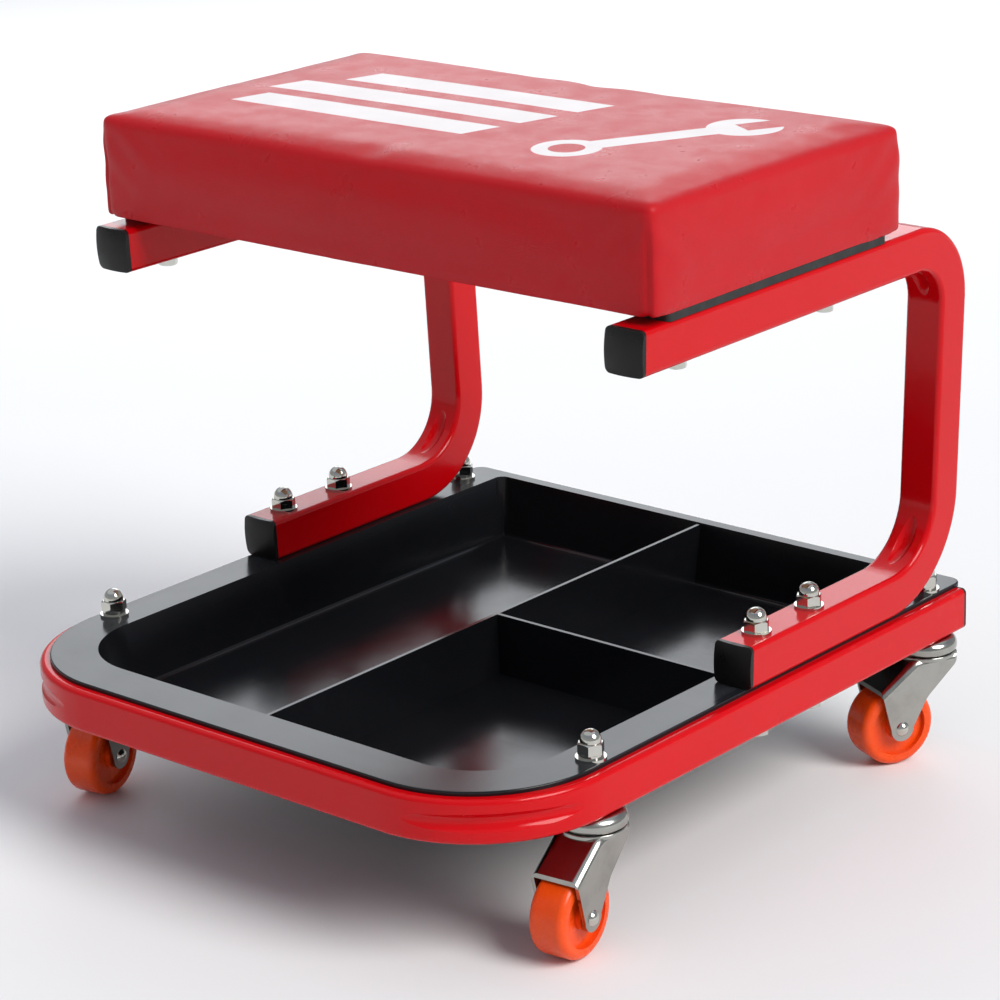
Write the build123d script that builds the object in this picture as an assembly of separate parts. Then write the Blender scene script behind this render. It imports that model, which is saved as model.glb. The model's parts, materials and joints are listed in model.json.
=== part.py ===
from build123d import *
import os
from math import atan2, cos, radians, sin, sqrt, tan

os.makedirs("parts", exist_ok=True)

# Mechanics creeper: a low roller seat with a tool tray under it.
# Millimetres. +Z up, +X to the right, +Y to the rear, where the seat's posts stand.
# Origin: on the floor, under the middle of the whole seat.

# ---- Driving dimensions ----------------------------------------------------
# base frame: one tube bent to a U, open at the rear
base_length = 422.5          # front of the U to the rear of its end plugs
rail_spread = 361.0          # rail centre to rail centre
rail_width = 30.0
rail_height = 25.0
rail_corner_r = 3.0          # rounding along the tube's four edges
tube_wall = 1.5
base_bend_r = 67.0           # centreline of the two front corners
groove_r = 6.0               # section of the groove pressed round each front corner
groove_depth = 3.0
groove_flatness = 23.0       # the groove's bend is this much larger than the wall's, so its ends fade

# seat supports: square tube bent to a C
support_tube = 25.0
support_corner_r = 3.0
lower_bend_r = 50.0          # centreline
upper_bend_r = 36.0          # centreline
arm_gap = 202.0              # lower arm's underside to upper arm's underside
support_lean = 7.3           # sideways lean of the posts between the two arms
post_setback = 9.0           # rear of the base to the rear of the posts
lower_arm_reach = 201.8      # rear of the posts to the front of the lower arm's plug
upper_arm_reach = 298.8      # rear of the posts to the front of the upper arm's plug
crush_r = 7.5                # section of the hollow pressed inside each bend
crush_depth = 2.2
crush_tightness = 0.55       # the hollow's bend against the wall's, so its ends fade

# tool tray
rim_thickness = 2.5
rim_inset = 6.0              # base tube's outer face to the rim's edge
rim_overhang = 5.5           # rim's rear edge past the base tube's end plugs
tray_wall = 1.8
tray_depth = 38.0            # rim's top to the compartment floors
tray_draft = 11.5            # degrees, on all four walls
tray_side_gap = 0.3          # tray's walls to the rails
tray_front_gap = 2.2         # tray's front wall to the front of the U
rear_rim_width = 8.0
tray_rear_corner_r = 6.0
tray_floor_r = 3.0           # rounding between walls and floor
rim_edge_r = 0.8
rim_rear_corner_r = 8.0
divider_thickness = 2.2
divider_drop = 0.8           # rim's top to the dividers' tops
cross_divider_setback = 196.5  # rear of the base to the cross divider's middle

# seat
seat_depth = 221.0
seat_thickness = 60.4
seat_overhang = 0.7          # upper arm's outer face to the seat's side
seat_setback = 77.2          # rear of the base to the seat's back
cover_thickness = 1.2
cover_edge_r = 9.0
cover_corner_r = 13.0
cover_hem = 24.0             # width folded under the board
board_thickness = 12.0
board_edge_r = 1.0
board_clearance = 0.1        # board and foam to the cover
spacer_thickness = 4.6
spacer_width = 36.0
spacer_end_gap = 14.0        # seat's front and back to the spacer's ends
spacer_corner_r = 3.0

# casters
stem_setback = 21.7          # rear of the base to the rear stems
stem_spacing = 309.6         # rear stems to front stems
wheel_r = 24.0
wheel_width = 22.0
wheel_shoulder_r = 4.0
wheel_dish = 3.0             # depth of the hollow in each side face
dish_rim = 6.5               # tread to the hollow's edge
hub_r = 7.5
hub_proud = 0.8
caster_trail = 24.0          # stem axis to wheel axis
fork_headroom = 15.2         # wheel's top to the fork plate's underside
fork_sheet = 2.2
fork_plate_r = 18.2
fork_side_gap = 1.8          # wheel's side face to the fork's leg
hood_clearance = 1.8         # wheel's tread to the front of the hood
hood_angle = 62.3            # degrees above level, from the axle to the hood's front
hood_crease = 14.0           # stem axis to where the hood starts to slope
leg_tip_r = 7.5
leg_rear = 15.0              # stem axis to the legs' rear edge at the plate
leg_shoulder = 4.0           # height of that edge
leg_waist = 17.0             # axle to the hollow in the legs' rear edge, back and up
leg_waist_r = 12.0
fork_edge_r = 4.6
hood_bend_r = 12.0           # bend where the hood starts to slope
fork_plate_edge_r = 0.7
hood_lip = 3.3               # height of the hood's front edge
kingpin_r = 5.0
kingpin_head_r = 7.5
kingpin_head = 3.4
swivel_gap = 0.6
cup_r = 19.0
cup_height = 8.5
cup_sheet = 2.6
cup_shoulder = 0.58          # share of the cup's height taken by its upper rounding
cup_lip = 0.26               # and by its lower rounding
race_r = 12.0
ball_r = 2.2
balls_per_race = 14
race_shoulder = 0.8          # balls to the boss inside them
headings = {"front_right": 6.0, "front_left": 12.0, "rear_right": -24.0, "rear_left": 10.0}

# fasteners
m8_r = 4.0
m6_r = 3.0
hole_clearance = 0.25        # radial, round bolts
bore_clearance = 0.05        # radial, nuts, sleeves and running fits
plug_clearance = 0.1         # end plugs in their tubes
washer_r = 8.4
washer_thickness = 1.6
spring_washer_r = 6.7
spring_washer_thickness = 2.0
spring_washer_split = 1.2
split_angle = 30.0
dome_nut_flats = 13.0
dome_nut_hex = 6.0
dome_nut_height = 13.0
dome_r = 5.8
crown_inset = 0.2            # a hexagon's flats to its turned top
crown_angle = 30.0
bolt_head_flats = 13.0
bolt_head_height = 5.3
support_bolt_front = 24.0    # front of the lower arm's plug to the first bolt
support_bolt_spacing = 49.2
seat_bolt_front = 45.0       # front of the upper arm's plug to the first seat bolt
seat_bolt_spacing = 130.0
seat_bolt_flats = 10.0
seat_bolt_head = 4.0
seat_washer_r = 6.5
t_nut_flange_r = 9.0
t_nut_flange = 1.5
t_nut_barrel_r = 4.2
t_nut_barrel = 8.0
axle_head_r = 4.4
axle_head = 2.6
axle_nut_flats = 9.0
axle_nut = 4.4
sleeve_r = 5.0
plug_grip = 12.0             # length of a plug inside its tube
rail_plug_face = 2.5
rail_plug_edge_r = 1.0
support_plug_face = 4.5
plug_dome = 3.0              # bulge of the support plugs' faces, within that thickness
staple_length = 10.0
staple_wire = 0.9
staple_leg = 6.0
staple_pitch = 28.0
staple_inset = 15.0          # seat's front and back edges to the staples
cut_past = 1.0               # how far a cutter runs past the faces it cuts
join_into = 0.5              # how far joined pieces reach into each other
same_place = 0.01            # largest distance at which two places count as one

# ---- Places that follow from them ------------------------------------------
rail_x = rail_spread / 2
front_y = -(base_length + rim_overhang) / 2
rear_y = front_y + base_length
rim_rear_y = rear_y + rim_overhang
plate_underside = 2 * wheel_r + fork_headroom
plate_top = plate_underside + fork_sheet
cup_underside = plate_top + swivel_gap
rail_bottom = cup_underside + cup_height
rail_top = rail_bottom + rail_height
rim_top = rail_top + rim_thickness
lower_arm_top = rim_top + support_tube
lower_arm_z = rim_top + support_tube / 2
upper_arm_z = lower_arm_z + arm_gap
upper_arm_bottom = upper_arm_z - support_tube / 2
upper_arm_top = upper_arm_z + support_tube / 2
upper_arm_x = rail_x + support_lean
post_rear_y = rear_y - post_setback
post_y = post_rear_y - support_tube / 2
lower_front_y = post_rear_y - lower_arm_reach
upper_front_y = post_rear_y - upper_arm_reach
seat_bottom = upper_arm_top + spacer_thickness
seat_top = seat_bottom + seat_thickness
arm_outer_x = upper_arm_x + support_tube / 2
seat_half = arm_outer_x + seat_overhang
seat_back_y = rear_y - seat_setback
seat_y = seat_back_y - seat_depth / 2
board_bottom = seat_bottom + cover_thickness
board_top = board_bottom + board_thickness
stem_ys = {"rear": rear_y - stem_setback, "front": rear_y - stem_setback - stem_spacing}
support_bolt_ys = [lower_front_y + support_bolt_front + n * support_bolt_spacing for n in (0, 1)]
seat_bolt_ys = [upper_front_y + seat_bolt_front + n * seat_bolt_spacing for n in (0, 1)]
fork_inner = wheel_width / 2 + fork_side_gap
fork_outer = fork_inner + fork_sheet
sides = {"left": -1, "right": 1}


def save(name, shape):
    """Writes one node; a list of solids becomes one group."""
    if isinstance(shape, list):
        shape = Compound(children=[solid for item in shape for solid in item.solids()])
    export_step(shape, f"parts/{name}.step")


def rod(radius, bottom, top, x=0.0, y=0.0):
    """Upright cylinder between two heights."""
    return Pos(x, y, bottom) * Cylinder(radius, top - bottom, align=(Align.CENTER, Align.CENTER, Align.MIN))


def ring(outer, inner, bottom, top, x=0.0, y=0.0):
    return rod(outer, bottom, top, x, y) - rod(inner, bottom - cut_past, top + cut_past, x, y)


def hexagon(flats, bottom, top, x=0.0, y=0.0):
    """Upright hexagonal prism, its top corners turned off."""
    height = top - bottom
    prism = Pos(x, y, bottom) * extrude(RegularPolygon(flats / 2, 6, major_radius=False), height)
    crown_r = flats / 2 - crown_inset
    foot_r = crown_r + height / tan(radians(crown_angle))
    cone = Cone(foot_r, crown_r, height, align=(Align.CENTER, Align.CENTER, Align.MIN))
    return prism & (Pos(x, y, bottom) * cone)


def bolt_end(seat_z):
    """Top of the bolt inside a dome nut that stands on seat_z."""
    return seat_z + dome_nut_height - dome_r / 2


def dome_nut(x, y, seat_z):
    """Acorn nut with a blind bore, standing on seat_z."""
    hex_top = seat_z + dome_nut_hex
    crown_z = seat_z + dome_nut_height - dome_r
    nut = hexagon(dome_nut_flats, seat_z, hex_top, x, y)
    nut += rod(dome_r, hex_top - join_into, crown_z, x, y)
    nut += Pos(x, y, crown_z) * Sphere(dome_r)
    return nut - rod(m8_r + bore_clearance, seat_z - cut_past, bolt_end(seat_z) + bore_clearance, x, y)


def spring_washer(x, y, seat_z):
    """Split washer on seat_z."""
    top = seat_z + spring_washer_thickness
    split = Pos(x, y + spring_washer_r, seat_z) * Rot(0, split_angle, 0) * Box(
        spring_washer_split, 2 * m8_r, 3 * spring_washer_thickness
    )
    return ring(spring_washer_r, m8_r + bore_clearance, seat_z, top, x, y) - split


def bolt(radius, flats, head_height, under_head, end, x, y):
    """Hexagon bolt pointing up, with its head's bearing face at under_head."""
    head = Pos(x, y, under_head) * Rot(180, 0, 0) * hexagon(flats, 0, head_height)
    return head + rod(radius, under_head - join_into, end, x, y)


def rounded_block(half_x, low_y, high_y, low_z, high_z, corner_r, top_r, bottom_r):
    """Upright block with rounded corners and edges, centred on x = 0."""
    plan = Pos(0, (low_y + high_y) / 2) * RectangleRounded(2 * half_x, high_y - low_y, corner_r)
    block = extrude(Pos(0, 0, low_z) * plan, high_z - low_z)
    block = fillet(block.edges().group_by(Axis.Z)[-1], top_r)
    return fillet(block.edges().group_by(Axis.Z)[0], bottom_r)


def on_side(shape, side):
    """A right-hand shape, or its mirror image for the left."""
    return shape if side > 0 else mirror(shape, Plane.YZ)


# ---- Base tube and its plugs -------------------------------------------------
def u_bar(width, height, edge_r):
    """Bar of a rounded section bent to the base's U, its rails along Y."""
    start = rear_y - rail_plug_face
    front = front_y + rail_width / 2
    z = rail_bottom + rail_height / 2
    corners = [(-rail_x, start, z), (-rail_x, front, z), (rail_x, front, z), (rail_x, start, z)]
    end = Plane(origin=corners[0], x_dir=(1, 0, 0), z_dir=(0, -1, 0))
    section = end * RectangleRounded(width, height, edge_r)
    return sweep(section, path=FilletPolyline(*corners, radius=base_bend_r))


def corner_groove(side, section_r):
    """Quarter ring that presses the groove into one front corner, deepest at its middle."""
    wall_r = base_bend_r + rail_width / 2
    ring_r = wall_r + groove_flatness
    shift = (ring_r - (wall_r + groove_r - groove_depth)) / sqrt(2)
    x = rail_x - base_bend_r - shift
    y = front_y + rail_width / 2 + base_bend_r + shift
    z = rail_bottom + rail_height / 2
    ring_quarter = Torus(ring_r, section_r, major_angle=90, align=None)
    return on_side(Pos(x, y, z) * Rot(0, 0, -90) * ring_quarter, side)


def base_tube():
    skin = u_bar(rail_width, rail_height, rail_corner_r)
    hollow = u_bar(rail_width - 2 * tube_wall, rail_height - 2 * tube_wall, rail_corner_r - tube_wall)
    for side in sides.values():
        skin -= corner_groove(side, groove_r)
        hollow -= corner_groove(side, groove_r + tube_wall)
    tube = skin - hollow
    for side in sides.values():
        for y in [*stem_ys.values(), *support_bolt_ys]:
            x = side * rail_x
            tube -= rod(m8_r + hole_clearance, rail_bottom - cut_past, rail_top + cut_past, x, y)
    return tube


def rail_plug(side):
    """Flat plug in a rail's rear end."""
    middle = (side * rail_x, rear_y - rail_plug_face, rail_bottom + rail_height / 2)
    end = Plane(origin=middle, x_dir=(-1, 0, 0), z_dir=(0, 1, 0))
    face = extrude(end * RectangleRounded(rail_width, rail_height, rail_corner_r), rail_plug_face)
    face = fillet(face.edges().group_by(Axis.Y)[-1], rail_plug_edge_r)
    inset = 2 * (tube_wall + plug_clearance)
    grip = RectangleRounded(rail_width - inset, rail_height - inset, rail_corner_r - tube_wall)
    return face + extrude(end * grip, -plug_grip)


# ---- Seat supports and their plugs -------------------------------------------
def c_bar(size, edge_r):
    """Square bar bent to the support's C, upright, on the right rail."""
    corners = [
        (rail_x, lower_front_y + support_plug_face, lower_arm_z),
        (rail_x, post_y, lower_arm_z),
        (rail_x, post_y, upper_arm_z),
        (rail_x, upper_front_y + support_plug_face, upper_arm_z),
    ]
    end = Plane(origin=corners[0], x_dir=(1, 0, 0), z_dir=(0, 1, 0))
    section = end * RectangleRounded(size, size, edge_r)
    return sweep(section, path=FilletPolyline(*corners, radius=[lower_bend_r, upper_bend_r]))


def bend_crush(bend_r, arm_z, upward, section_r):
    """Ring that presses the hollow into the inner wall of one bend."""
    middle_r = bend_r - support_tube / 2 + crush_depth - crush_r
    ring_r = crush_tightness * middle_r
    reach = bend_r - (middle_r - ring_r) / sqrt(2)
    return Pos(rail_x, post_y - reach, arm_z + upward * reach) * Rot(0, 90, 0) * Torus(ring_r, section_r)


def lean(shape):
    """Leans a support's parts sideways, with both arms still level."""
    slope = support_lean / arm_gap
    return shape.transform_geometry(
        Matrix([[1, 0, slope, -slope * lower_arm_z], [0, 1, 0, 0], [0, 0, 1, 0], [0, 0, 0, 1]])
    )


def seat_support():
    skin = c_bar(support_tube, support_corner_r)
    hollow = c_bar(support_tube - 2 * tube_wall, support_corner_r - tube_wall)
    for bend_r, arm_z, upward in ((lower_bend_r, lower_arm_z, 1), (upper_bend_r, upper_arm_z, -1)):
        skin -= bend_crush(bend_r, arm_z, upward, crush_r)
        hollow -= bend_crush(bend_r, arm_z, upward, crush_r + tube_wall)
    support = lean(skin - hollow)
    for y in support_bolt_ys:
        support -= rod(m8_r + hole_clearance, rim_top - cut_past, lower_arm_top + cut_past, rail_x, y)
    for y in seat_bolt_ys:
        low_z = upper_arm_bottom - cut_past
        support -= rod(m6_r + hole_clearance, low_z, upper_arm_top + cut_past, upper_arm_x, y)
    return support


def support_plug(front, arm_z):
    """Domed plug in the front end of an arm."""
    end = Plane(origin=(rail_x, front + support_plug_face, arm_z), x_dir=(1, 0, 0), z_dir=(0, -1, 0))
    face = extrude(end * RectangleRounded(support_tube, support_tube, support_corner_r), support_plug_face)
    dome_r_full = (support_tube**2 / 2 + plug_dome**2) / (2 * plug_dome)
    face &= Pos(rail_x, front + dome_r_full, arm_z) * Sphere(dome_r_full)
    size = support_tube - 2 * (tube_wall + plug_clearance)
    grip = RectangleRounded(size, size, support_corner_r - tube_wall)
    return lean(face + extrude(end * grip, -plug_grip))


# ---- Tool tray ---------------------------------------------------------------
def tray_plan(half_x, front, rear, front_r, rear_r):
    """Outline with large front corners and small rear ones."""
    outline = Pos(0, (front + rear) / 2) * Rectangle(2 * half_x, rear - front)
    corners = outline.vertices().group_by(Axis.Y)
    outline = fillet(corners[0], front_r)
    return fillet(outline.vertices().group_by(Axis.Y)[-1], rear_r)


def tool_tray():
    inner_x = rail_x - rail_width / 2 - tray_side_gap - tray_wall
    inner_front = front_y + rail_width + tray_front_gap + tray_wall
    inner_rear = rim_rear_y - rear_rim_width
    inner_r = base_bend_r - rail_width / 2 - tray_side_gap - tray_wall
    rim = extrude(
        Pos(0, 0, rail_top)
        * tray_plan(
            rail_x + rail_width / 2 - rim_inset,
            front_y + rim_inset,
            rim_rear_y,
            base_bend_r + rail_width / 2 - rim_inset,
            rim_rear_corner_r,
        ),
        rim_thickness,
    )
    rim = fillet(rim.edges().group_by(Axis.Z)[-1], rim_edge_r)
    space_plan = tray_plan(inner_x, inner_front, inner_rear, inner_r, tray_rear_corner_r)
    shell_plan = tray_plan(
        inner_x + tray_wall, inner_front - tray_wall, inner_rear + tray_wall,
        inner_r + tray_wall, tray_rear_corner_r + tray_wall,
    )
    shell = extrude(Pos(0, 0, rim_top) * shell_plan, -(tray_depth + tray_wall), taper=tray_draft)
    space = extrude(Pos(0, 0, rim_top) * space_plan, -tray_depth, taper=tray_draft)
    space = fillet(space.edges().group_by(Axis.Z)[0], tray_floor_r)
    divider_height = tray_depth - divider_drop
    cross_y = rear_y - cross_divider_setback
    middle = Pos(0, 0, rim_top - tray_depth) * Box(
        divider_thickness, 2 * base_length, divider_height, align=(Align.CENTER, Align.CENTER, Align.MIN)
    )
    cross = Pos(0, cross_y, rim_top - tray_depth) * Box(
        rail_spread, divider_thickness, divider_height, align=(Align.MIN, Align.CENTER, Align.MIN)
    )
    below_rim = Pos(0, 0, rim_top) * Box(
        2 * base_length, 2 * base_length, 2 * rim_thickness, align=(Align.CENTER, Align.CENTER, Align.MIN)
    )
    shell -= below_rim
    tray = (rim + shell) - space + (middle + cross) & (shell + rim)
    for side in sides.values():
        for y in [*stem_ys.values(), *support_bolt_ys]:
            tray -= rod(m8_r + hole_clearance, rail_top - cut_past, rim_top + cut_past, side * rail_x, y)
    return tray


# ---- Seat --------------------------------------------------------------------
def seat_layer(gap, low_z, high_z, corner_r, top_r, bottom_r):
    """Rounded block inside the seat's outline, a gap in from its sides."""
    front = seat_back_y - seat_depth + gap
    back = seat_back_y - gap
    return rounded_block(seat_half - gap, front, back, low_z, high_z, corner_r, top_r, bottom_r)


def seat_cover():
    skin_r = cover_thickness + board_edge_r
    skin = seat_layer(0, seat_bottom, seat_top, cover_corner_r, cover_edge_r, skin_r)
    inside = seat_layer(
        cover_thickness, board_bottom, seat_top - cover_thickness,
        cover_corner_r - cover_thickness, cover_edge_r - cover_thickness, board_edge_r,
    )
    mouth = Pos(0, seat_y, seat_bottom) * Box(
        2 * (seat_half - cover_hem), seat_depth - 2 * cover_hem, 4 * cover_thickness
    )
    cover = skin - inside - mouth
    for side in sides.values():
        for y in seat_bolt_ys:
            x = side * upper_arm_x
            cover -= rod(m6_r + hole_clearance, seat_bottom - cut_past, board_bottom + cut_past, x, y)
    return cover


def seat_board():
    gap = cover_thickness + board_clearance
    board = seat_layer(gap, board_bottom, board_top, cover_corner_r - gap, board_edge_r / 2, board_edge_r)
    for side in sides.values():
        for y in seat_bolt_ys:
            x = side * upper_arm_x
            board -= rod(m6_r + hole_clearance, board_bottom - cut_past, board_top + cut_past, x, y)
            barrel_end = board_top - t_nut_flange - t_nut_barrel
            board -= rod(t_nut_barrel_r + board_clearance, barrel_end, board_top + cut_past, x, y)
            flange_bottom = board_top - t_nut_flange
            board -= rod(t_nut_flange_r + board_clearance, flange_bottom, board_top + cut_past, x, y)
    return board


def seat_foam():
    gap = cover_thickness + board_clearance
    top_r = cover_edge_r - gap
    return seat_layer(gap, board_top, seat_top - gap, cover_corner_r - gap, top_r, board_edge_r / 2)


def seat_spacer(side):
    """Flat strip between an upper arm and the seat, reaching inward past the arm."""
    length = seat_depth - 2 * spacer_end_gap
    x = arm_outer_x - spacer_width / 2
    z = (upper_arm_top + seat_bottom) / 2
    strip = Pos(side * x, seat_y, z) * Box(spacer_width, length, spacer_thickness)
    strip = fillet(strip.edges().filter_by(Axis.Z), spacer_corner_r)
    for y in seat_bolt_ys:
        bolt_x = side * upper_arm_x
        strip -= rod(m6_r + hole_clearance, upper_arm_top - cut_past, seat_bottom + cut_past, bolt_x, y)
    return strip


def t_nut(x, y):
    """Flanged nut let into the board's top."""
    flange_bottom = board_top - t_nut_flange
    nut = rod(t_nut_flange_r, flange_bottom, board_top, x, y)
    nut += rod(t_nut_barrel_r, flange_bottom - t_nut_barrel, flange_bottom + join_into, x, y)
    return nut - rod(m6_r + bore_clearance, board_bottom, seat_top, x, y)


def staple(x, y):
    """Staple driven up through the cover's hem into the board."""
    crown = Pos(x, y, seat_bottom) * Box(
        staple_length, staple_wire, staple_wire, align=(Align.CENTER, Align.CENTER, Align.MAX)
    )
    for end in (-1, 1):
        crown += Pos(x + end * (staple_length - staple_wire) / 2, y, seat_bottom - staple_wire) * Box(
            staple_wire, staple_wire, staple_leg, align=(Align.CENTER, Align.CENTER, Align.MIN)
        )
    return crown


def staples():
    """One row along the front hem and one along the back, between the spacers."""
    half_row = arm_outer_x - spacer_width - staple_length
    count = int(2 * half_row / staple_pitch) + 1
    start = -staple_pitch * (count - 1) / 2
    edges = (seat_back_y - staple_inset, seat_back_y - seat_depth + staple_inset)
    return [staple(start + n * staple_pitch, y) for y in edges for n in range(count)]


# ---- Casters, each about its own stem, trailing to -Y ---------------------------
def caster_stem():
    """Threaded stem with a kingpin below it, peened over under the fork's plate."""
    head_top = plate_underside - board_clearance
    nut_seat = rim_top + washer_thickness + spring_washer_thickness
    stem = rod(m8_r, cup_underside - join_into, bolt_end(nut_seat))
    stem += rod(kingpin_r, head_top - join_into, cup_underside)
    head = rod(kingpin_head_r, head_top - kingpin_head, head_top)
    return stem + fillet(head.edges().group_by(Axis.Z)[0], kingpin_head / 2)


def swivel_cup():
    """Pressed cup that holds the upper ball race, fixed under the rail."""
    ceiling = plate_top + swivel_gap / 2 + 2 * ball_r + board_clearance
    lip = cup_r - cup_sheet
    boss = race_r - ball_r - race_shoulder
    dish = rod(cup_r, cup_underside, rail_bottom)
    dish = fillet(dish.edges().group_by(Axis.Z)[-1], cup_height * cup_shoulder)
    dish = fillet(dish.edges().group_by(Axis.Z)[0], cup_height * cup_lip)
    dish -= ring(lip, boss, cup_underside - cut_past, ceiling)
    return dish - rod(m8_r + bore_clearance, cup_underside - cut_past, rail_bottom + cut_past)


def swivel_balls():
    z = plate_top + swivel_gap / 2 + ball_r
    ball = Pos(race_r, 0, z) * Sphere(ball_r)
    return [Rot(0, 0, n * 360 / balls_per_race) * ball for n in range(balls_per_race)]


def fork():
    """Pressed fork: a round plate, a hood that slopes over the wheel and two tapering legs."""
    side = Plane(origin=(0, 0, 0), x_dir=(0, -1, 0), z_dir=(-1, 0, 0))
    hood_r = wheel_r + hood_clearance + fork_sheet
    front = caster_trail + hood_r * cos(radians(hood_angle))
    front_z = wheel_r + hood_r * sin(radians(hood_angle))
    slope = atan2(plate_top - front_z, front - hood_crease)
    waist = (caster_trail - leg_waist, wheel_r + leg_waist)
    outline = make_face(
        Polyline(
            (-leg_rear, plate_top),
            (hood_crease, plate_top),
            (front, front_z),
            (front, front_z - hood_lip),
            (caster_trail + leg_tip_r, wheel_r),
            (caster_trail - leg_tip_r, wheel_r),
            waist,
            (-leg_rear, plate_top - leg_shoulder),
            close=True,
        )
    )
    hollow_corner = outline.vertices().sort_by_distance((*waist, 0))[0]
    outline = fillet(hollow_corner, leg_waist_r)
    crease = outline.vertices().sort_by_distance((hood_crease, plate_top, 0))[0]
    outline = fillet(crease, hood_bend_r) + Pos(caster_trail, wheel_r) * Circle(leg_tip_r)
    body = extrude(side * outline, fork_outer, both=True)
    leg_edges = [e for e in body.edges() if abs(abs(e.center().X) - fork_outer) < same_place]
    upper_edges = [e for e in leg_edges if min(v.Z for v in e.vertices()) > front_z - same_place]
    body = fillet(upper_edges, fork_edge_r)
    inner_z = plate_underside
    inner_crease = hood_crease - fork_sheet * tan(slope / 2)
    far = 4 * wheel_r
    channel = make_face(
        Polyline(
            (-far, inner_z),
            (inner_crease, inner_z),
            (far, inner_z - (far - inner_crease) * tan(slope)),
            (far, -far),
            (-far, -far),
            close=True,
        )
    )
    body -= extrude(side * channel, fork_inner, both=True)
    plate = rod(fork_plate_r, plate_underside, plate_top)
    body += fillet(plate.edges().group_by(Axis.Z)[-1], fork_plate_edge_r)
    body -= rod(kingpin_r + bore_clearance, plate_underside - cut_past, plate_top + cut_past)
    return body - across(rod(m6_r + bore_clearance, -2 * fork_outer, 2 * fork_outer))


def across(shape):
    """Turns a shape made along Z about the origin to lie along a caster's axle."""
    return Pos(0, -caster_trail, wheel_r) * Rot(0, 90, 0) * shape


def axle():
    """Axle bolt: a low domed head outside one leg, its end level with the nut outside the other."""
    head_sphere_r = (axle_head_r**2 + axle_head**2) / (2 * axle_head)
    head = rod(axle_head_r, fork_outer, fork_outer + axle_head)
    head &= Pos(0, 0, fork_outer + axle_head - head_sphere_r) * Sphere(head_sphere_r)
    return across(head + rod(m6_r, -fork_outer - axle_nut, fork_outer + axle_head / 2))


def axle_nut_piece():
    nut = Rot(180, 0, 0) * hexagon(axle_nut_flats, fork_outer, fork_outer + axle_nut)
    return across(nut - rod(m6_r + bore_clearance, -2 * fork_outer, 2 * fork_outer))


def wheel():
    """Solid moulded wheel with rounded shoulders and a shallow hollow in each side."""
    half = wheel_width / 2
    tread = rod(wheel_r, -half, half)
    tread = fillet(tread.edges(), wheel_shoulder_r)
    for face in (-1, 1):
        hollow = ring(wheel_r - dish_rim, hub_r, half - wheel_dish, half + cut_past)
        tread -= Rot(0 if face > 0 else 180, 0, 0) * hollow
    tread += rod(hub_r, -half - hub_proud, half + hub_proud)
    return across(tread - rod(sleeve_r + bore_clearance, -2 * half, 2 * half))


def axle_sleeve():
    return across(ring(sleeve_r, m6_r + bore_clearance, -fork_inner, fork_inner))


# ---- Write the nodes ---------------------------------------------------------
save("base_tube", base_tube())
save("tool_tray", tool_tray())
support = seat_support()
plugs = {
    "lower": support_plug(lower_front_y, lower_arm_z),
    "upper": support_plug(upper_front_y, upper_arm_z),
}
for side_name, side in sides.items():
    save(f"rail_end_plug_{side_name}", rail_plug(side))
    save(f"seat_support_{side_name}", on_side(support, side))
    save(f"seat_spacer_{side_name}", seat_spacer(side))
    for level, plug in plugs.items():
        save(f"support_plug_{level}_{side_name}", on_side(plug, side))

save("seat_cover", seat_cover())
save("seat_board", seat_board())
save("seat_foam", seat_foam())
save("seat_staples", staples())

support_places = [(side * rail_x, y) for side in sides.values() for y in support_bolt_ys]
under_rail = rail_bottom - washer_thickness
above_arm = lower_arm_top + washer_thickness
save("support_bolts", [
    bolt(m8_r, bolt_head_flats, bolt_head_height, under_rail, bolt_end(above_arm), x, y)
    for x, y in support_places
])
save("support_washers", [
    ring(washer_r, m8_r + bore_clearance, bottom, bottom + washer_thickness, x, y)
    for x, y in support_places for bottom in (under_rail, lower_arm_top)
])
save("support_dome_nuts", [dome_nut(x, y, above_arm) for x, y in support_places])

seat_places = [(side * upper_arm_x, y) for side in sides.values() for y in seat_bolt_ys]
under_arm = upper_arm_bottom - washer_thickness
save("seat_bolts", [
    bolt(m6_r, seat_bolt_flats, seat_bolt_head, under_arm, board_top - t_nut_flange, x, y)
    for x, y in seat_places
])
save("seat_bolt_washers", [
    ring(seat_washer_r, m6_r + bore_clearance, under_arm, upper_arm_bottom, x, y) for x, y in seat_places
])
save("seat_t_nuts", [t_nut(x, y) for x, y in seat_places])

stem_places = [(side * rail_x, y) for side in sides.values() for y in stem_ys.values()]
above_rim = rim_top + washer_thickness
save("caster_washers", [
    ring(washer_r, m8_r + bore_clearance, rim_top, above_rim, x, y) for x, y in stem_places
])
save("caster_spring_washers", [spring_washer(x, y, above_rim) for x, y in stem_places])
save("caster_dome_nuts", [dome_nut(x, y, above_rim + spring_washer_thickness) for x, y in stem_places])

fixed_parts = {"stem": caster_stem(), "swivel_cup": swivel_cup(), "swivel_balls": swivel_balls()}
turning_parts = {
    "fork": fork(),
    "axle": axle(),
    "axle_nut": axle_nut_piece(),
    "axle_sleeve": axle_sleeve(),
    "wheel": wheel(),
}
for corner, heading in headings.items():
    end, side_name = corner.split("_")
    place = Pos(sides[side_name] * rail_x, stem_ys[end], 0)
    for part_name, shape in fixed_parts.items():
        placed = [place * item for item in shape] if isinstance(shape, list) else place * shape
        save(f"{corner}_{part_name}", placed)
    for part_name, shape in turning_parts.items():
        save(f"{corner}_{part_name}", place * Rot(0, 0, heading) * shape)
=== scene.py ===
import json
from math import atan2, cos, hypot, radians, sin

import bmesh
import bpy
from mathutils import Matrix, Vector, noise

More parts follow.
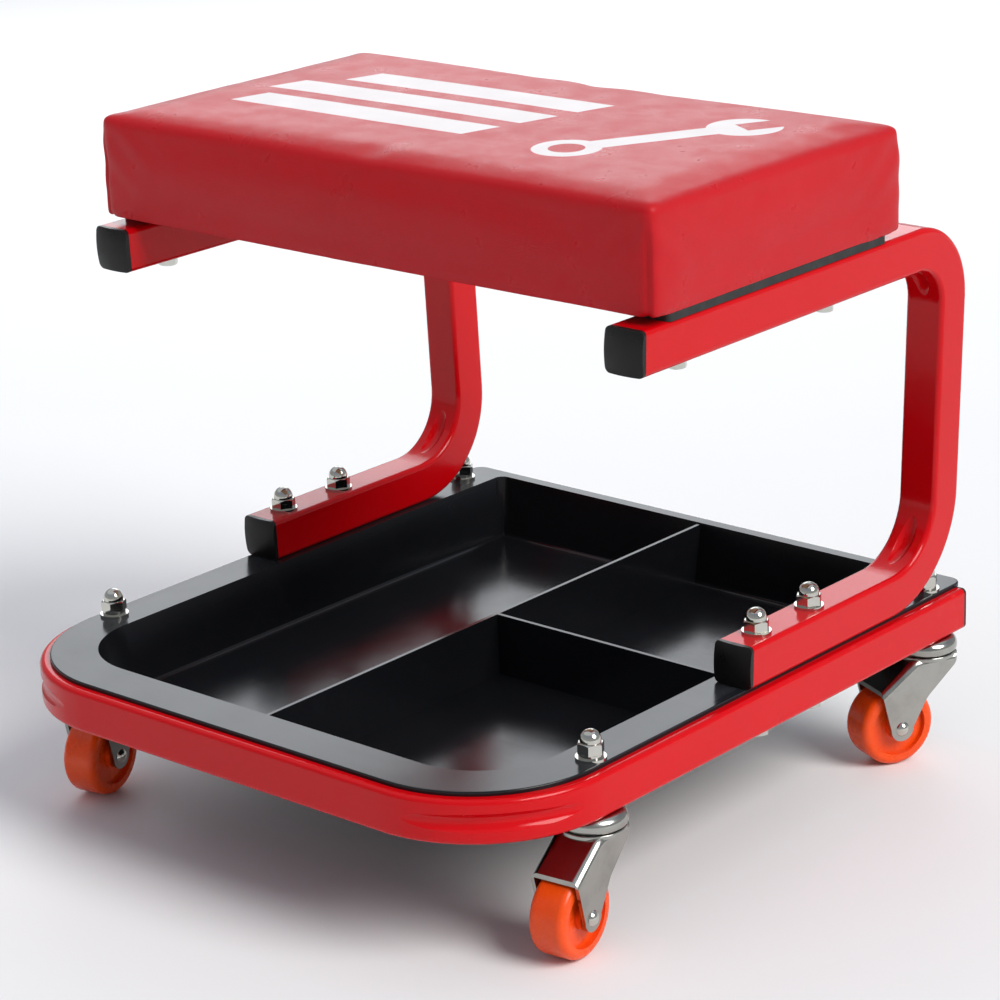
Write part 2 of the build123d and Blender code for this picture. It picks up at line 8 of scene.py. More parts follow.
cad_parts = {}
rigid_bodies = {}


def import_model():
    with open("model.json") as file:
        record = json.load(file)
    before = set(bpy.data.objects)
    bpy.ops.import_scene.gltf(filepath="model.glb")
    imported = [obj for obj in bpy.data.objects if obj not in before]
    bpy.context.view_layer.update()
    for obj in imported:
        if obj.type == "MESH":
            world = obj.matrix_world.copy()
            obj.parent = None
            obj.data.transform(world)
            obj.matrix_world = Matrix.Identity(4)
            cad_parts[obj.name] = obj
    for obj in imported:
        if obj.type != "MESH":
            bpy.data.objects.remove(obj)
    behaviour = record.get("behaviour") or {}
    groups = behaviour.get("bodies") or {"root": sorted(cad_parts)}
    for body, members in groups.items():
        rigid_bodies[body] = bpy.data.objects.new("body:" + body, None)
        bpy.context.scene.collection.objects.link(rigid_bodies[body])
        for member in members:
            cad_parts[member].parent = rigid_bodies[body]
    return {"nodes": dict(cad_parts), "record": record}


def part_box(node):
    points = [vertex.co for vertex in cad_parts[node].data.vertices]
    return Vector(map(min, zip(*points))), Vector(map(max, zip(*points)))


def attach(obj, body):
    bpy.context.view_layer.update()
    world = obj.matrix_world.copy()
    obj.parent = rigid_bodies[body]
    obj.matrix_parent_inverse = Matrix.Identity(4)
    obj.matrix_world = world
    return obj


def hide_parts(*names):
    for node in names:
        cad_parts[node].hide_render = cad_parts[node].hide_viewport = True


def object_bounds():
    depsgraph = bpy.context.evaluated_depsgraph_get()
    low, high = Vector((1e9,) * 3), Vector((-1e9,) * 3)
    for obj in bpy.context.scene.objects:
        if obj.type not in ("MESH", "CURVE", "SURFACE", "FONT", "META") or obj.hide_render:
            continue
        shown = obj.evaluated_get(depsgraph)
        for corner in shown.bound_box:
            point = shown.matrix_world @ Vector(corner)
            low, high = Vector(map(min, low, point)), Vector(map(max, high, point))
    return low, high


for leftover in list(bpy.data.objects):
    bpy.data.objects.remove(leftover)
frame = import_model()
cad_low, cad_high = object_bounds()
nodes = frame["nodes"]
slots = {part["node"]: part["material_slot"] for part in frame["record"]["subparts"]}

# cushion before it swells
CUSHION_CELLS = (90, 50, 14)    # faces of the block along x, y and z
WELD = 0.0002                   # points of the block nearer than this are one
EDGE_R = 0.0065                 # rounding of the block's edges
TOP_INSET = 0.0012              # room above the block for what it swells
TOP_SPREAD = 0.003              # how much wider its top is than its foot, as a share

# cloth simulation
SWELL_FRAMES = 20
SWELL_CAP = 0.0026              # farthest that a point may move
PRESSURE = 1.2
STRETCH_STIFFNESS = 60
HELD_HEIGHT = 0.009             # the cover is held up to this height over its foot
FACE_MARGIN = 0.0085            # a flat face's points are farther than this from its edges

# shape moved into the swollen cushion
SEED = 7.31                     # offset of the noise, so each run gives the same shape
CROWN = 0.0010                  # how far the seat's top stands above its edges
SIDE_PULL = 0.0012              # how far the sides pull in between the corners
WAVE, RIPPLE = 0.0009, 0.00028  # heights of the broad and the fine stretch waves
CORNER_R = 0.012                # rounding that the corner folds follow
FOLD_REACH, FOLD_TOP = 0.05, 0.93   # a fold's reach from its corner, and its top as a share
FOLD_RISE, FOLD_DEPTH = 0.0010, 0.0011
FOLD_TURN, FOLD_WIDTH = 0.66, 0.16  # angle round the corner of the fold's groove, in radians
CREASE_REACH = 0.075
CREASE_DEPTH = 0.00035
CREASE_PITCH = 260              # turns of the crease's wave, in radians per metre

# foot of the cover
HEM_WIDTH = 0.024               # cover folded under the board
HEM_CORNER = 0.020              # mitred corners of the hem's opening
HEM_STEP = 0.008                # length of the pieces of its hand-cut edge
HEM_RAGGED = 0.008              # how uneven that edge is, as a share
HEM_SAG = 0.00025
BOARD_R = 0.0117                # rounding of the wrapped board's corners
BOARD_ROOM = 0.0009             # how far the cover stands off the board's edge

# white print on the seat's top
BAR_SLANT = 0.25
BAR_HALF_WIDTH = 0.0125
BARS = ((-0.052, 0.088, 0.038), (-0.060, 0.096, 0.0), (-0.052, 0.088, -0.038))   # middle, half length, offset
SPANNER_X, SPANNER_TURN = 0.118, 62     # middle in x, and angle in degrees
SPANNER_REACH = 0.052                   # from its middle to the centre of either end
SHANK_HALF_LENGTH, SHANK_HALF_WIDTH = 0.050, 0.0085
JAW_R, RING_R, EYE_R = 0.021, 0.019, 0.010
JAW_MIDDLE, JAW_HALF_LENGTH = 0.068, 0.018
PRINT_EDGE = 0.0003             # softness of the print's outline

FLOOR_HALF = 9.0
FLOOR_DROP = 0.0003             # floor below the wheels

scene = bpy.context.scene
scene.unit_settings.system = "METRIC"


# ---- Material helpers --------------------------------------------------------
class Graph:
    """A material's nodes, with short calls for the ones used here."""

    def __init__(self, name):
        self.material = bpy.data.materials.new(name)
        self.material.use_nodes = True
        self.tree = self.material.node_tree
        self.tree.nodes.clear()
        self.output = self.tree.nodes.new("ShaderNodeOutputMaterial")
        self.shader = self.tree.nodes.new("ShaderNodeBsdfPrincipled")
        self.link(self.shader.outputs[0], self.output.inputs[0])
        self.place = self.tree.nodes.new("ShaderNodeTexCoord").outputs["Object"]

    def link(self, a, b):
        self.tree.links.new(a, b)

    def put(self, socket, value):
        if hasattr(value, "is_linked"):
            self.link(value, socket)
        else:
            socket.default_value = value

    def set(self, **values):
        """Sets or links the shader's sockets, underscores for spaces."""
        for key, value in values.items():
            self.put(self.shader.inputs[key.replace("_", " ")], value)

    def noise(self, scale, detail=4.0, rough=0.55, vector=None, distort=0.0):
        n = self.tree.nodes.new("ShaderNodeTexNoise")
        n.inputs["Scale"].default_value = scale
        n.inputs["Detail"].default_value = detail
        n.inputs["Roughness"].default_value = rough
        n.inputs["Distortion"].default_value = distort
        self.link(vector or self.place, n.inputs["Vector"])
        return n.outputs["Fac"]

    def cells(self, scale, feature):
        n = self.tree.nodes.new("ShaderNodeTexVoronoi")
        n.feature = feature
        n.inputs["Scale"].default_value = scale
        self.link(self.place, n.inputs["Vector"])
        return n.outputs["Distance"]

    def stretched(self, x, y, z):
        n = self.tree.nodes.new("ShaderNodeMapping")
        n.inputs["Scale"].default_value = (x, y, z)
        self.link(self.place, n.inputs["Vector"])
        return n.outputs[0]

    def remap(self, value, low, high, out_low=0.0, out_high=1.0):
        n = self.tree.nodes.new("ShaderNodeMapRange")
        n.interpolation_type = "SMOOTHSTEP"
        self.put(n.inputs["Value"], value)
        for key, number in (("From Min", low), ("From Max", high), ("To Min", out_low), ("To Max", out_high)):
            n.inputs[key].default_value = number
        return n.outputs[0]

    def math(self, operation, a, b=0.0):
        n = self.tree.nodes.new("ShaderNodeMath")
        n.operation = operation
        for socket, value in zip(n.inputs, (a, b)):
            self.put(socket, value)
        return n.outputs[0]

    def mix(self, share, a, b):
        n = self.tree.nodes.new("ShaderNodeMix")
        n.data_type = "RGBA"
        self.put(n.inputs[0], share)
        self.put(n.inputs[6], a)
        self.put(n.inputs[7], b)
        return n.outputs[2]

    def bump(self, height, depth, strength=1.0, below=None):
        n = self.tree.nodes.new("ShaderNodeBump")
        n.inputs["Strength"].default_value = strength
        n.inputs["Distance"].default_value = depth
        self.link(height, n.inputs["Height"])
        if below is not None:
            self.link(below, n.inputs["Normal"])
        return n.outputs[0]

    def edges(self, sharp, full):
        """1 on convex edges, 0 on faces."""
        n = self.tree.nodes.new("ShaderNodeNewGeometry")
        return self.remap(n.outputs["Pointiness"], sharp, full)


def colour(r, g, b):
    return (r, g, b, 1.0)


def frame_paint():
    g = Graph("frame_paint")
    deep, bright = colour(0.50, 0.0008, 0.0030), colour(0.60, 0.0012, 0.005)
    scuffed, rubbed = colour(0.42, 0.004, 0.006), colour(0.72, 0.05, 0.045)
    base = g.mix(g.noise(9, 3), deep, bright)
    fleck = g.remap(g.noise(900, 2), 0.62, 0.74)
    scuffs = g.remap(g.noise(60, 6, 0.7, g.stretched(1, 1, 0.25)), 0.66, 0.78)
    base = g.mix(g.math("MULTIPLY", scuffs, 0.35), base, scuffed)
    worn = g.math("MULTIPLY", g.edges(0.56, 0.72), g.remap(g.noise(130, 5), 0.55, 0.7))
    base = g.mix(g.math("MULTIPLY", worn, 0.5), base, rubbed)
    rough = g.math("ADD", g.remap(g.noise(40, 4), 0.3, 0.75, 0.13, 0.22), g.math("MULTIPLY", scuffs, 0.18))
    peel = g.bump(g.noise(330, 2, 0.4), 0.00012, 0.35)
    g.set(Base_Color=base, Roughness=rough, Normal=g.bump(fleck, 0.00004, 0.25, peel))
    g.set(IOR=1.45, Specular_IOR_Level=0.28)
    return g.material


def tray_plastic():
    g = Graph("tray_plastic")
    black, charcoal = colour(0.0045, 0.005, 0.006), colour(0.0075, 0.008, 0.010)
    dusty, rubbed = colour(0.08, 0.09, 0.10), colour(0.12, 0.13, 0.15)
    base = g.mix(g.noise(14, 4), black, charcoal)
    dust = g.remap(g.noise(48, 8, 0.7), 0.56, 0.82)
    base = g.mix(g.math("MULTIPLY", dust, 0.05), base, dusty)
    scratch = g.remap(g.noise(26, 3, 0.5, g.stretched(1, 18, 3), 0.8), 0.66, 0.70)
    scratch = g.math("MULTIPLY", scratch, 0.5)
    worn = g.math("MULTIPLY", g.edges(0.53, 0.66), 0.18)
    base = g.mix(worn, base, rubbed)
    rough = g.math("ADD", g.remap(g.noise(22, 5), 0.3, 0.7, 0.15, 0.21), g.math("MULTIPLY", scratch, 0.1))
    grain = g.bump(g.noise(1700, 3, 0.6), 0.00004, 0.25)
    g.set(Base_Color=base, Roughness=rough, Normal=g.bump(scratch, 0.00004, 0.2, grain))
    g.set(IOR=1.52, Specular_IOR_Level=0.3)
    return g.material


def plug_plastic():
    g = Graph("plug_plastic")
    black, charcoal = colour(0.004, 0.0035, 0.0035), colour(0.009, 0.008, 0.008)
    rubbed = colour(0.10, 0.10, 0.11)
    base = g.mix(g.noise(60, 4), black, charcoal)
    worn = g.math("MULTIPLY", g.edges(0.54, 0.68), 0.25)
    base = g.mix(worn, base, rubbed)
    rough = g.remap(g.noise(90, 5), 0.3, 0.7, 0.26, 0.42)
    g.set(Base_Color=base, Roughness=rough, Normal=g.bump(g.noise(1500, 3, 0.6), 0.00008, 0.5))
    g.set(IOR=1.5, Specular_IOR_Level=0.25)
    return g.material


def bright_metal(name, low, high, rough_low, rough_high, tint, brush=(1, 1, 1)):
    """Plated or pressed steel: soft stains, fine brushing, duller where it was handled."""
    g = Graph(name)
    stain = g.math("MULTIPLY", g.remap(g.noise(60, 6, 0.65), 0.40, 0.80), 0.45)
    base = g.mix(stain, colour(*high), colour(*low))
    rust = g.remap(g.noise(210, 5, 0.6), 0.70, 0.80)
    base = g.mix(g.math("MULTIPLY", rust, 0.35), base, colour(*tint))
    lines = g.noise(420, 3, 0.5, g.stretched(*brush))
    rough = g.remap(g.noise(75, 5), 0.3, 0.7, rough_low, rough_high)
    rough = g.math("ADD", rough, g.math("MULTIPLY", rust, 0.2))
    g.set(Base_Color=base, Metallic=1.0, Roughness=rough, Normal=g.bump(lines, 0.00005, 0.25))
    return g.material


def wheel_orange():
    g = Graph("wheel_orange")
    deep, bright, grimy = colour(0.74, 0.055, 0.003), colour(0.84, 0.085, 0.005), colour(0.42, 0.045, 0.012)
    base = g.mix(g.noise(70, 4), deep, bright)
    grime = g.math("MULTIPLY", g.remap(g.noise(240, 6, 0.7), 0.55, 0.8), 0.35)
    base = g.mix(grime, base, grimy)
    rough = g.remap(g.noise(180, 4), 0.3, 0.7, 0.17, 0.34)
    g.set(Base_Color=base, Roughness=rough, Normal=g.bump(g.noise(800, 3), 0.00008, 0.3))
    g.set(IOR=1.5, Specular_IOR_Level=0.35)
    g.set(Subsurface_Weight=0.12, Subsurface_Scale=0.004)
    g.shader.inputs["Subsurface Radius"].default_value = (1.0, 0.25, 0.06)
    return g.material


def ply_wood():
    g = Graph("seat_ply")
    early, late, fibre = colour(0.50, 0.33, 0.17), colour(0.68, 0.50, 0.30), colour(0.32, 0.19, 0.09)
    rings = g.noise(16, 5, 0.6, g.stretched(0.35, 6, 6), 1.2)
    fibres = g.noise(170, 4, 0.6, g.stretched(0.12, 5, 5))
    base = g.mix(g.remap(rings, 0.3, 0.7), early, late)
    base = g.mix(g.math("MULTIPLY", g.remap(fibres, 0.5, 0.75), 0.5), base, fibre)
    g.set(Base_Color=base, Roughness=g.remap(fibres, 0.3, 0.7, 0.55, 0.8), Normal=g.bump(fibres, 0.0002, 0.6))
    return g.material


def black_board():
    g = Graph("spacer_black")
    black, charcoal = colour(0.008, 0.008, 0.008), colour(0.022, 0.021, 0.020)
    base = g.mix(g.noise(90, 5), black, charcoal)
    rough = g.remap(g.noise(150, 5), 0.3, 0.7, 0.55, 0.75)
    g.set(Base_Color=base, Roughness=rough, Normal=g.bump(g.noise(1100, 4, 0.7), 0.00015, 0.6))
    return g.material


makers = {
    "frame_paint": frame_paint,
    "tray_plastic": tray_plastic,
    "plug_plastic": plug_plastic,
    "plated_steel": lambda: bright_metal(
        "plated_steel", (0.36, 0.34, 0.29), (0.58, 0.57, 0.52), 0.07, 0.16, (0.30, 0.22, 0.14)
    ),
    "fork_chrome": lambda: bright_metal(
        "fork_chrome", (0.20, 0.20, 0.18), (0.40, 0.40, 0.37), 0.12, 0.24, (0.17, 0.15, 0.11), (1, 1, 0.2)
    ),
    "sleeve_steel": lambda: bright_metal(
        "sleeve_steel", (0.35, 0.35, 0.34), (0.58, 0.58, 0.57), 0.25, 0.4, (0.26, 0.2, 0.13)
    ),
    "staple_steel": lambda: bright_metal(
        "staple_steel", (0.4, 0.4, 0.39), (0.66, 0.66, 0.65), 0.22, 0.35, (0.28, 0.2, 0.12)
    ),
    "wheel_orange": wheel_orange,
    "seat_ply": ply_wood,
    "spacer_black": black_board,
}
materials = {name: make() for name, make in makers.items()}
for name, obj in nodes.items():
    if slots[name] in materials:
        obj.data.materials.clear()
        obj.data.materials.append(materials[slots[name]])


# ---- Seat cushion --------------------------------------------------------------
cover_low, cover_high = (Vector(corner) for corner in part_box("seat_cover"))
seat_mid = (cover_low + cover_high) / 2
seat_half = (cover_high - cover_low) / 2


def new_object(name, mesh_builder):
    mesh = bpy.data.meshes.new(name)
    bm = bmesh.new()
    mesh_builder(bm)
    bm.normal_update()
    bm.to_mesh(mesh)
    bm.free()
    obj = bpy.data.objects.new(name, mesh)
    scene.collection.objects.link(obj)
    return obj


def apply_modifiers(obj):
    bpy.context.view_layer.update()
    evaluated = obj.evaluated_get(bpy.context.evaluated_depsgraph_get())
    mesh = bpy.data.meshes.new_from_object(evaluated)
    old = obj.data
    obj.modifiers.clear()
    obj.data = mesh
    bpy.data.meshes.remove(old)


def cushion_block(bm):
    """The cushion before it swells: a rounded block in an even mesh, a little narrower at its foot."""
    cells = CUSHION_CELLS
    half = Vector((seat_half.x, seat_half.y, (cover_high.z - TOP_INSET - cover_low.z) / 2))
    for axis in range(3):
        u, w = (axis + 1) % 3, (axis + 2) % 3
        for side in (-1, 1):
            grid = []
            for a in range(cells[u] + 1):
                row = []
                for b in range(cells[w] + 1):
                    co = Vector((0, 0, 0))
                    co[axis] = side * half[axis]
                    co[u] = (2 * a / cells[u] - 1) * half[u]
                    co[w] = (2 * b / cells[w] - 1) * half[w]
                    row.append(bm.verts.new(co))
                grid.append(row)
            for a in range(cells[u]):
                for b in range(cells[w]):
                    bm.faces.new((grid[a][b], grid[a + 1][b], grid[a + 1][b + 1], grid[a][b + 1]))
    bmesh.ops.remove_doubles(bm, verts=bm.verts, dist=WELD)
    bmesh.ops.recalc_face_normals(bm, faces=bm.faces)
    for v in bm.verts:
        near = Vector((
            max(-half.x + EDGE_R, min(half.x - EDGE_R, v.co.x)),
            max(-half.y + EDGE_R, min(half.y - EDGE_R, v.co.y)),
            min(half.z - EDGE_R, v.co.z),
        ))
        out = v.co - near
        if out.length > EDGE_R:
            v.co = near + out * (EDGE_R / out.length)
        wide = 1 + TOP_SPREAD * (v.co.z / half.z + 1) / 2
        v.co = Vector((seat_mid.x + v.co.x * wide, seat_mid.y + v.co.y * wide, v.co.z + cover_low.z + half.z))


def swell(obj):
    """Cloth under pressure, held where the cover is stapled to the board."""
    held = obj.vertex_groups.new(name="held")
    start = [v.co.copy() for v in obj.data.vertices]
    held.add([n for n, co in enumerate(start) if co.z < cover_low.z + HELD_HEIGHT], 1.0, "REPLACE")
    cloth = obj.modifiers.new("cloth", "CLOTH")
    cloth.settings.quality = 6
    cloth.settings.mass = 0.25
    cloth.settings.tension_stiffness = STRETCH_STIFFNESS
    cloth.settings.compression_stiffness = STRETCH_STIFFNESS
    cloth.settings.shear_stiffness = 10
    cloth.settings.bending_stiffness = 6
    cloth.settings.use_pressure = True
    cloth.settings.uniform_pressure_force = PRESSURE
    cloth.settings.effector_weights.gravity = 0.0
    cloth.settings.vertex_group_mass = "held"
    cloth.point_cache.frame_start = 1
    cloth.point_cache.frame_end = SWELL_FRAMES
    for step in range(1, SWELL_FRAMES + 1):
        scene.frame_set(step)
    evaluated = obj.evaluated_get(bpy.context.evaluated_depsgraph_get())
    ends = [v.co.copy() for v in evaluated.data.vertices]
    obj.modifiers.clear()
    scene.frame_set(1)
    for v, a, b in zip(obj.data.vertices, start, ends):
        move = b - a
        v.co = a + move * (SWELL_CAP / max(SWELL_CAP, move.length))
    obj.vertex_groups.clear()


def smooth(obj, everywhere, on_faces):
    """Evens the mesh out: a little over its edges, and well on its flat faces."""
    bm = bmesh.new()
    bm.from_mesh(obj.data)

    def on_face(co):
        """True well away from the block's edges, where only one side is near."""
        gaps = (seat_half.x - abs(co.x - seat_mid.x), seat_half.y - abs(co.y - seat_mid.y))
        gaps += (cover_high.z - co.z, co.z - cover_low.z)
        return sorted(gaps)[1] > FACE_MARGIN

    flat = [v for v in bm.verts if on_face(v.co)]
    for verts, times in ((bm.verts[:], everywhere), (flat, on_faces)):
        for _ in range(times):
            bmesh.ops.smooth_vert(
                bm, verts=verts, factor=0.5, use_axis_x=True, use_axis_y=True, use_axis_z=True
            )
    bm.to_mesh(obj.data)
    bm.free()


def fade(value, low, high):
    t = min(1.0, max(0.0, (value - low) / (high - low)))
    return t * t * (3 - 2 * t)


def stretch_wave(x, y, z):
    wave = noise.noise(Vector((x * 13, y * 15, z * 22 + SEED))) * WAVE
    return wave + noise.noise(Vector((x * 42, y * 46, z * 60 + SEED))) * RIPPLE


def corner_fold(from_x, from_y, up):
    """The fold at an upright corner, where the end's cover laps over the front's."""
    if from_x >= FOLD_REACH or from_y >= FOLD_REACH or up >= FOLD_TOP:
        return 0.0
    round_corner = from_x < CORNER_R or from_y < CORNER_R
    turn = atan2(CORNER_R - from_x, CORNER_R - from_y) if round_corner else 0.8
    along = max(from_y - CORNER_R, 0.0)
    low_down = 1 - fade(up, 0.55, 0.92)
    lap = FOLD_RISE * fade(turn, 0.70, 0.80) * low_down * (1 - fade(along, 0.004, 0.03))
    groove = FOLD_DEPTH * low_down * max(0.0, 1 - abs(turn - FOLD_TURN) / FOLD_WIDTH)
    return lap - groove * (1 - fade(from_x, 0.012, 0.02))


def tension_crease(normal, from_x, from_y, drop):
    """Shallow creases that run down from the top corners."""
    if from_x >= CREASE_REACH or from_y >= CREASE_REACH:
        return 0.0
    run = from_y if abs(normal.x) > abs(normal.y) else from_x
    line = sin((run * 0.9 - drop * 1.1) * CREASE_PITCH)
    return CREASE_DEPTH * line * (1 - fade(hypot(run, drop), 0.012, 0.07))


def dress(obj):
    """Moves the points along their normals for waves, folds and creases, and lifts the top's crown."""
    height = cover_high.z - cover_low.z
    normals = [v.normal.copy() for v in obj.data.vertices]
    for v, normal in zip(obj.data.vertices, normals):
        x, y = v.co.x - seat_mid.x, v.co.y - seat_mid.y
        up = (v.co.z - cover_low.z) / height
        top = fade(up, 0.75, 0.98)
        side = fade(up, 0.02, 0.3) * (1 - top)
        reach_x, reach_y = abs(x) / seat_half.x, abs(y) / seat_half.y
        from_x, from_y = seat_half.x - abs(x), seat_half.y - abs(y)
        move = stretch_wave(x, y, v.co.z) * (0.35 + 0.65 * side)
        # sides pull in between the corners
        between = 1 - min(1.0, reach_x) ** 4 if abs(normal.y) > 0.5 else 1 - reach_y**4
        move -= SIDE_PULL * side * between
        move += corner_fold(from_x, from_y, up)
        move += tension_crease(normal, from_x, from_y, (1 - up) * height) * side
        v.co += normal * move
        v.co.z += CROWN * (1 - reach_x**2) * (1 - reach_y**2) * top
        # the hem lies flat under the board
        if up < 0.03:
            sag = HEM_SAG * fade(noise.noise(Vector((x * 60, y * 60, SEED))), 0, 0.5)
            v.co.z = max(v.co.z, cover_low.z - sag)


def wrap_board(obj):
    """Moves out any point of the cover's foot that lies inside the board's outline."""
    low, high = (Vector(corner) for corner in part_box("seat_board"))
    above, below = 0.002, 0.0004    # margins over and under the board
    hem_start, deepest = 0.004, 0.006
    for v in obj.data.vertices:
        if v.co.z > high.z + above:
            continue
        x, y = v.co.x - seat_mid.x, v.co.y - seat_mid.y
        over_x = abs(x) - ((high.x - low.x) / 2 - BOARD_R)
        over_y = abs(y) - ((high.y - low.y) / 2 - BOARD_R)
        # the hem itself stays where it is
        if v.co.z < low.z - below and max(over_x, over_y) < BOARD_R - hem_start:
            continue
        if over_x < 0 and over_y < 0:
            gap = max(over_x, over_y) - BOARD_R
            out = Vector((1, 0)) if over_x > over_y else Vector((0, 1))
        else:
            out = Vector((max(over_x, 0.0), max(over_y, 0.0)))
            gap = out.length - BOARD_R
        if -deepest < gap < BOARD_ROOM:
            move = out.normalized() * (BOARD_ROOM - gap)
            v.co.x += move.x * (1 if x > 0 else -1)
            v.co.y += move.y * (1 if y > 0 else -1)


def mouth_cutter(bm):
    """Opening in the folded hem, with a hand-cut edge and mitred corners."""
    half_x, half_y = seat_half.x - HEM_WIDTH, seat_half.y - HEM_WIDTH
    outline = [(half_x - HEM_CORNER, -half_y), (half_x, -half_y + HEM_CORNER)]
    outline += [(half_x, half_y - HEM_CORNER), (half_x - HEM_CORNER, half_y)]
    outline += [(-x, y) for x, y in reversed(outline)]
    ring = []
    for n, (x0, y0) in enumerate(outline):
        x1, y1 = outline[(n + 1) % len(outline)]
        count = max(2, int(hypot(x1 - x0, y1 - y0) / HEM_STEP))
        for k in range(count):
            t = k / count
            x, y = x0 + (x1 - x0) * t, y0 + (y1 - y0) * t
            ragged = 1 + HEM_RAGGED * noise.noise(Vector((x * 30, y * 30, SEED)))
            ring.append((seat_mid.x + x * ragged, seat_mid.y + y * ragged))
    low, high = cover_low.z - 0.004, cover_low.z + 0.008
    under = [bm.verts.new((x, y, low)) for x, y in ring]
    over = [bm.verts.new((x, y, high)) for x, y in ring]
    bm.faces.new(list(reversed(under)))
    bm.faces.new(over)
    for n in range(len(ring)):
        m = (n + 1) % len(ring)
        bm.faces.new((under[n], under[m], over[m], over[n]))
    bmesh.ops.recalc_face_normals(bm, faces=bm.faces)


def open_hem(obj):
    cutter = new_object("mouth_cutter", mouth_cutter)
    cut = obj.modifiers.new("mouth", "BOOLEAN")
    cut.operation = "DIFFERENCE"
    cut.solver = "EXACT"
    cut.object = cutter
    apply_modifiers(obj)
    bpy.data.objects.remove(cutter)


def seat_print(g):
    """1 where the white print lies: three slanted bars and a spanner, on the seat's top only."""
    split = g.tree.nodes.new("ShaderNodeSeparateXYZ")
    g.link(g.place, split.inputs[0])
    x, y, z = split.outputs

    def turned(cx, cy, angle):
        """Distances along and across a line through a point at an angle."""
        dx, dy = g.math("SUBTRACT", x, cx), g.math("SUBTRACT", y, cy)
        c, s = cos(angle), sin(angle)
        u = g.math("ADD", g.math("MULTIPLY", dx, c), g.math("MULTIPLY", dy, s))
        w = g.math("SUBTRACT", g.math("MULTIPLY", dy, c), g.math("MULTIPLY", dx, s))
        return u, w

    # each shape gives the distance to its outline, negative inside it
    def bar(u, w, cu, cw, half_u, half_w, slant=0.0):
        along = g.math("SUBTRACT", g.math("SUBTRACT", u, cu), g.math("MULTIPLY", w, slant))
        du = g.math("SUBTRACT", g.math("ABSOLUTE", along), half_u)
        dw = g.math("SUBTRACT", g.math("ABSOLUTE", g.math("SUBTRACT", w, cw)), half_w)
        return g.math("MAXIMUM", du, dw)

    def disc(u, w, cu, r):
        du = g.math("SUBTRACT", u, cu)
        square = g.math("ADD", g.math("MULTIPLY", du, du), g.math("MULTIPLY", w, w))
        return g.math("SUBTRACT", g.math("SQRT", square), r)

    u, w = turned(SPANNER_X, seat_mid.y, radians(SPANNER_TURN))
    shank = bar(u, w, 0.0, 0.0, SHANK_HALF_LENGTH, SHANK_HALF_WIDTH)
    drawn = g.math("MINIMUM", shank, disc(u, w, SPANNER_REACH, JAW_R))
    drawn = g.math("MINIMUM", drawn, disc(u, w, -SPANNER_REACH, RING_R))
    jaw = bar(u, w, JAW_MIDDLE, 0.0, JAW_HALF_LENGTH, SHANK_HALF_WIDTH)
    eye = disc(u, w, -SPANNER_REACH, EYE_R)
    for hole in (jaw, eye):
        drawn = g.math("MAXIMUM", drawn, g.math("MULTIPLY", hole, -1.0))
    for middle_x, half_length, offset in BARS:
        # where the bar's slanted middle line meets y = 0
        cross_x = middle_x - BAR_SLANT * seat_mid.y
        one = bar(x, y, cross_x, seat_mid.y + offset, half_length, BAR_HALF_WIDTH, BAR_SLANT)
        drawn = g.math("MINIMUM", drawn, one)
    mask = g.remap(drawn, -PRINT_EDGE, PRINT_EDGE, 1.0, 0.0)
    mask = g.math("MULTIPLY", mask, g.remap(z, cover_high.z - 0.012, cover_high.z - 0.010))
    worn = g.remap(g.noise(260, 6, 0.75), 0.70, 0.80)
    return g.math("MULTIPLY", mask, g.math("SUBTRACT", 1.0, g.math("MULTIPLY", worn, 0.6)))


def vinyl():
    """Red vinyl with a fine pitted grain, painted shade in the pits, and the worn white print."""
    g = Graph("seat_vinyl")
    deep, bright = colour(0.47, 0.0010, 0.0045), colour(0.57, 0.0016, 0.008)
    shade_in_pits = colour(0.30, 0.002, 0.008)
    base = g.mix(g.noise(7, 4), deep, bright)
    ridges = g.remap(g.cells(1100, "DISTANCE_TO_EDGE"), 0.0, 0.12)
    # painted shade: a darker red laid into the pits between the grain's cells
    base = g.mix(g.math("MULTIPLY", g.math("SUBTRACT", 1.0, ridges), 0.35), base, shade_in_pits)
    mask = seat_print(g)
    ink, clean_ink = colour(0.80, 0.74, 0.74), colour(0.88, 0.84, 0.84)
    base = g.mix(mask, base, g.mix(g.noise(30, 4), ink, clean_ink))
    rough = g.remap(g.noise(55, 5), 0.3, 0.7, 0.27, 0.38)
    rough = g.math("ADD", rough, g.math("MULTIPLY", mask, 0.12))
    grain = g.bump(ridges, 0.00016, 0.55)
    fine = g.bump(g.noise(2600, 3, 0.6), 0.00006, 0.4, grain)
    g.set(Base_Color=base, Roughness=rough, Normal=fine, IOR=1.5)
    g.set(Specular_IOR_Level=0.25)
    return g.material


cushion = new_object("seat_cushion", cushion_block)
swell(cushion)
smooth(cushion, 1, 4)
subdivide = cushion.modifiers.new("subdivide", "SUBSURF")
subdivide.levels = subdivide.render_levels = 1
apply_modifiers(cushion)
dress(cushion)
wrap_board(cushion)
open_hem(cushion)
cushion.data.materials.clear()
cushion.data.materials.append(vinyl())
for face in cushion.data.polygons:
    face.use_smooth = True
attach(cushion, "frame")
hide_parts("seat_cover", "seat_foam")


# ---- Floor, light and camera ---------------------------------------------------
def floor_sheet(bm):
    bmesh.ops.create_grid(bm, x_segments=24, y_segments=24, size=FLOOR_HALF)


def floor_paint():
    g = Graph("floor")
    pale, paler = colour(0.80, 0.80, 0.80), colour(0.83, 0.83, 0.83)
    g.set(Base_Color=g.mix(g.noise(3, 3), pale, paler), Roughness=0.75)
    return g.material


floor = new_object("floor", floor_sheet)
floor.data.materials.append(floor_paint())
floor.location.z = cad_low.z - FLOOR_DROP


